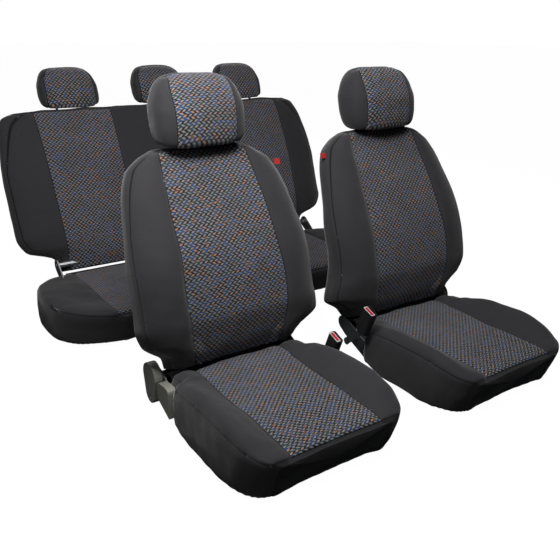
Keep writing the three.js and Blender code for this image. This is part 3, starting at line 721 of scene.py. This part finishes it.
def cushion_profile(seat, w, bolster, drop, lift):
    """The section of a cushion cover from its hem on one side over the top to the other hem."""
    top = seat["crease"][1] - 2 - drop
    floor = lift + HEM_Z
    narrow = w / max(seat["cushion_w"])
    right = [
        (0, floor + 14),
        (w - 60, floor + 12),
        (w - 32, floor + 6),
        (w - 16, floor),
        (w - 3, floor + 2),
        (w, floor + (top - floor) * 0.34),
        (w, floor + (top - floor) * 0.66),
        (w - 4, top + bolster * 0.42),
        (w - 21, top + bolster * 0.96),
        (seat["bolster_at"] * narrow, top + bolster + 1.5),
        (seat["seam_at"] * narrow + 14, top + bolster * 0.16),
        (seat["seam_at"] * narrow - 4, top + 0.5),
        (seat["seam_at"] * narrow * 0.5, top + 3.5),
        (0, top + 4),
    ]
    left = [(-x, z) for x, z in right[-2::-1]]
    return rounded_corners(right + left, 3)[:-1]


def cushion_skin(seat, x0, columns, rows, seed):
    first, last = seat["cushion_y"][0], seat["cushion_y"][-1]
    bend = np.linspace(0, 1, rows)
    levels = first + (last - first) * np.sin(bend * math.pi / 2) ** 0.92
    order = np.argsort(seat["cushion_y"])
    knots = np.array(seat["cushion_y"], float)[order]
    front_seam = last + 7
    rings = []
    for y in levels:
        w, bolster, drop, lift = (
            float(smooth(knots, np.array(seat[f"cushion_{k}"], float)[order], y))
            for k in ("w", "bolster", "drop", "lift")
        )
        line = cushion_profile(seat, w, bolster, drop, lift)
        flat, run = spread(line, columns, True)
        x, z = flat.T
        along = (first - y) / (first - last)
        low = np.clip(1 - z / (seat["crease"][1] - 2), 0, 1)
        place = np.stack([x, seat["crease"][0] + y + seat["tuck"] * along * low, z], 1)
        top = seat["crease"][1] - 2 - drop
        insert = np.full(columns, FAR)
        for one in seat["inserts"]:
            half = np.interp(along, [0, 1], one["seat"])
            insert = np.minimum(insert, np.maximum(np.abs(x - one["x"]) - half, front_seam - y))
        insert = np.where(z < top - 12, 60.0, insert)
        wall = (top + bolster * 0.5 - 4) - z
        wall = np.where(np.abs(x) < w - 40, np.where(z > top - 20, -40.0, 40.0), wall)
        rings.append(
            {
                "co": place,
                "uv": np.stack([x, np.full(columns, y)], 1),
                "insert": insert,
                "wall": np.maximum(wall, front_seam - y),
                "hem": z - (lift + HEM_Z),
                "stitch": np.where(wall > -30, x, y),
                "run": run,
            }
        )
    skin = Skin(rings, True, cap_first=True, cap_last=True, bulge=5.0)
    skin.cut("insert")
    skin.cut("wall")
    amount = groove(skin.data["insert"], 3.6, 8.0) + 0.55 * groove(skin.data["wall"], 2.6, 5.0)
    amount += ripple(skin.data["co"], seed)
    near_hem = np.exp(-np.maximum(skin.data["hem"], 0) / 18)
    amount += 0.7 * np.sin(skin.data["run"] * 2 * math.pi / 41) * near_hem
    skin.extra = amount
    skin.data["co"][:, 0] += x0
    return skin


HEAD_LEVELS = (
    # share of the height, of the half width and of the depth
    (0.0, 0.80, 0.66),
    (0.035, 0.88, 0.76),
    (0.12, 0.955, 0.87),
    (0.3, 0.99, 0.965),
    (0.5, 0.985, 1.0),
    (0.7, 0.92, 0.90),
    (0.82, 0.85, 0.80),
    (0.91, 0.755, 0.67),
    (0.965, 0.65, 0.52),
    (1.0, 0.47, 0.34),
)


def head_skin(head, x0, columns, rows, seed):
    table = np.array(HEAD_LEVELS)
    lean = math.tan(math.radians(head["lean"]))
    side, reach = superellipse(2000, HEAD_SQUARENESS)
    rings = []
    for h in 1 - (1 - np.linspace(0, 1, rows)) ** 1.15:
        width = head["half"] * float(smooth(table[:, 0], table[:, 1], h))
        depth = head["depth"] / 2 * float(smooth(table[:, 0], table[:, 2], h))
        height = head["height"] * h
        flat, run = spread(np.stack([side * width, depth * reach, side, reach], 1), columns, True)
        x, y, u, v = flat.T
        half, high, corner = head["insert"], head["height"] + head["over"], HEAD_CORNER
        dx = np.abs(x) - (half - corner)
        dz = height - (high - corner)
        at_corner = (dx > 0) & (dz > 0)
        box = np.where(at_corner, np.hypot(np.maximum(dx, 0), max(dz, 0)), np.maximum(dx, dz)) - corner
        insert = np.maximum(box, y + 12.0 - head["over"] * 0.5)
        level = np.full(columns, head["z"] + height)
        rings.append(
            {
                "co": np.stack([x, head["y"] + height * lean + y, level], 1),
                "uv": np.stack([x, height + 0.9 * (y + head["depth"] / 2)], 1),
                "insert": insert,
                "hem": np.full(columns, height),
                "stitch": np.full(columns, height) + 0.6 * x,
                "run": run,
            }
        )
    skin = Skin(rings, True, cap_first=True, cap_last=True, bulge=2.0)
    skin.cut("insert")
    amount = groove(skin.data["insert"], 2.6, 6.0)
    amount += 0.7 * ripple(skin.data["co"], seed)
    skin.extra = amount
    skin.data["co"][:, 0] += x0
    return skin


def finish_skin(skin, seams, bumps=()):
    """Draws in the seams, adds folds and notes how far each point is from a seam."""
    amount = skin.extra.copy()
    for one in bumps:
        amount += folds(skin.data["co"], *one)
    skin.push(amount)
    skin.data["seam"] = np.min([np.abs(skin.data[k]) for k in seams], axis=0)
    return skin


def add_cover(skin, stem, insert_nodes, plain_nodes, body, insert_names):
    """Makes the patterned inserts and the plain surround of one cover."""
    inside = skin.data["insert"][skin.tris].mean(1) < 0
    middle = skin.data["co"][skin.tris].mean(1)[:, 0]
    made = []
    for name, node in zip(insert_names, insert_nodes):
        low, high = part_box(node)
        chosen = inside & (middle * MM > low.x - 0.02) & (middle * MM < high.x + 0.02)
        piece = skin.piece(f"{stem}_{name}", chosen, JACQUARD)
        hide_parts(node)
        made.append(piece)
    surround = skin.piece(f"{stem}_plain", ~inside, CLOTH)
    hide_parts(*plain_nodes)
    made.append(surround)
    for piece in made:
        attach(piece, body)
    return made


def build_front(index, door):
    stem, x0 = f"front_{index}", door * FRONT_X
    back = finish_skin(back_skin(FRONT, x0, 240, 96, 10 + index, -door), ("insert", "gusset"))
    add_cover(
        back, f"{stem}_back_cover", [f"{stem}_back_insert"],
        [f"{stem}_back_surround", f"{stem}_back_foam"], f"{stem}_back", ["insert"],
    )
    seat = finish_skin(cushion_skin(FRONT, x0, 200, 96, 20 + index), ("insert", "wall"))
    add_cover(
        seat, f"{stem}_cushion_cover", [f"{stem}_cushion_insert"],
        [f"{stem}_cushion_surround", f"{stem}_cushion_foam"], "base", ["insert"],
    )
    head = finish_skin(head_skin(FRONT["head"], x0, 150, 56, 30 + index), ("insert",))
    add_cover(
        head, f"{stem}_headrest_cover", [f"{stem}_headrest_insert"],
        [f"{stem}_headrest_surround", f"{stem}_headrest_foam"], f"{stem}_headrest", ["insert"],
    )


def build_bench():
    back = finish_skin(back_skin(BENCH, 0.0, 380, 72, 41), ("insert", "gusset"))
    names = ["insert_left", "insert_right"]
    add_cover(
        back, "bench_back_cover", [f"bench_back_{k}" for k in names],
        ["bench_back_surround", "bench_back_foam"], "bench_back", names,
    )
    seat = finish_skin(cushion_skin(BENCH, 0.0, 330, 64, 42), ("insert", "wall"))
    add_cover(
        seat, "bench_cushion_cover", [f"bench_cushion_{k}" for k in names],
        ["bench_cushion_surround", "bench_cushion_foam"], "base", names,
    )
    for k, (place, x0) in enumerate((("left", -BENCH_HEAD_X), ("middle", 0.0), ("right", BENCH_HEAD_X))):
        stem = f"bench_headrest_{place}"
        head = finish_skin(head_skin(BENCH["head"], x0, 110, 40, 50 + k), ("insert",))
        add_cover(
            head, f"{stem}_cover", [f"{stem}_insert"],
            [f"{stem}_surround", f"{stem}_foam"], stem, ["insert"],
        )


def mesh_piece(name, vertices, faces, material, body, thickness=0.0, bevel=0.0):
    """A small piece from points in millimetres."""
    mesh = bpy.data.meshes.new(name)
    mesh.from_pydata([[c * MM for c in v] for v in vertices], [], faces)
    mesh.polygons.foreach_set("use_smooth", [True] * len(mesh.polygons))
    mesh.materials.append(material)
    made = bpy.data.objects.new(name, mesh)
    bpy.context.scene.collection.objects.link(made)
    if thickness:
        modifier = made.modifiers.new("thickness", "SOLIDIFY")
        modifier.thickness = thickness * MM
        modifier.offset = 0.0
    if bevel:
        modifier = made.modifiers.new("edges", "BEVEL")
        modifier.width = bevel * MM
        modifier.segments = 2
    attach(made, body)
    return made


def add_flap(name, seat, x0, half, path):
    """The strip of plain cloth that goes down into the crease behind a cushion."""
    line = rounded_corners(path, 2)
    columns = 48
    across = np.linspace(-half, half, columns)
    vertices, faces = [], []
    for row, (y, z) in enumerate(line):
        for x in across:
            wave = 1.2 * math.sin(x / 17.0 + 0.4 * row) * row / len(line)
            vertices.append((x0 + x, seat["crease"][0] + y + wave, z))
    for row in range(len(line) - 1):
        for k in range(columns - 1):
            a = row * columns + k
            faces.append((a, a + 1, a + columns + 1, a + columns))
    mesh_piece(name, vertices, faces, CLOTH, "base", thickness=2.0)


def add_buckle_rim(index):
    """The pale frame round the red button on top of a belt buckle."""
    low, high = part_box(f"front_{index}_buckle_button")
    lean = math.radians(BUCKLE_LEAN)
    middle = ((low + high) / 2) / MM
    back = Vector((0, math.cos(lean), math.sin(lean)))
    up = Vector((0, -math.sin(lean), math.cos(lean)))
    across = Vector((1, 0, 0))
    centre = middle + up * 7.6
    outer, inner = (6.6, 20.0), (4.9, 17.4)
    vertices, faces = [], []
    for level in (0.0, 1.1):
        for half_x, half_y in (outer, inner):
            for sx, sy in ((-1, -1), (1, -1), (1, 1), (-1, 1)):
                vertices.append(centre + across * sx * half_x + back * sy * half_y + up * level)
    for k in range(4):
        j = (k + 1) % 4
        faces += [(8 + k, 8 + j, 12 + j, 12 + k), (k, 4 + k, 4 + j, j)]
        faces += [(k, j, 8 + j, 8 + k), (4 + k, 12 + k, 12 + j, 4 + j)]
    stem = f"front_{index}_buckle"
    rim = mesh_piece(
        f"{stem}_rim", vertices, faces, WHITE_PLASTIC, stem, bevel=0.3
    )
    rim.data.polygons.foreach_set("use_smooth", [False] * len(rim.data.polygons))


for index, door in ((1, -1), (2, 1)):
    build_front(index, door)
    add_flap(
        f"front_{index}_crease_flap", FRONT, door * FRONT_X, 205,
        [(-14, 106), (-6, 113), (6, 117), (17, 114), (24, 102), (27, 82), (28, 62)],
    )
    add_buckle_rim(index)
build_bench()
add_flap(
    "bench_crease_flap", BENCH, 0.0, 540,
    [(-22, 118), (-12, 127), (2, 131), (15, 128), (24, 116), (28, 96), (30, 76)],
)

# ------------------------------------------------------------------ the frame's own nodes


def dress(node, material, bevel=0.0):
    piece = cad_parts[node]
    piece.data.materials.clear()
    piece.data.materials.append(material)
    if bevel:
        modifier = piece.modifiers.new("edges", "BEVEL")
        modifier.width = bevel
        modifier.segments = 3
        modifier.limit_method = "ANGLE"
        modifier.angle_limit = math.radians(35)


for seat in ("front_1", "front_2", "bench"):
    dress(f"{seat}_cushion_pan", STEEL)
    dress(f"{seat}_back_frame", STEEL)
for head in ("front_1_headrest", "front_2_headrest"):
    dress(f"{head}_rods", CHROME)
for place in ("left", "middle", "right"):
    dress(f"bench_headrest_{place}_rods", CHROME)
for index in (1, 2):
    stem = f"front_{index}"
    dress(f"{stem}_side_trim", GREY_PLASTIC, 0.003)
    dress(f"{stem}_recline_lever", GREY_PLASTIC, 0.005)
    dress(f"{stem}_lever_screw", STEEL, 0.0006)
    dress(f"{stem}_buckle_stalk", STEEL)
    dress(f"{stem}_buckle_body", BLACK_PLASTIC, 0.0012)
    dress(f"{stem}_buckle_button", RED_PLASTIC, 0.0012)
    dress(f"{stem}_tag", RED_TAPE)
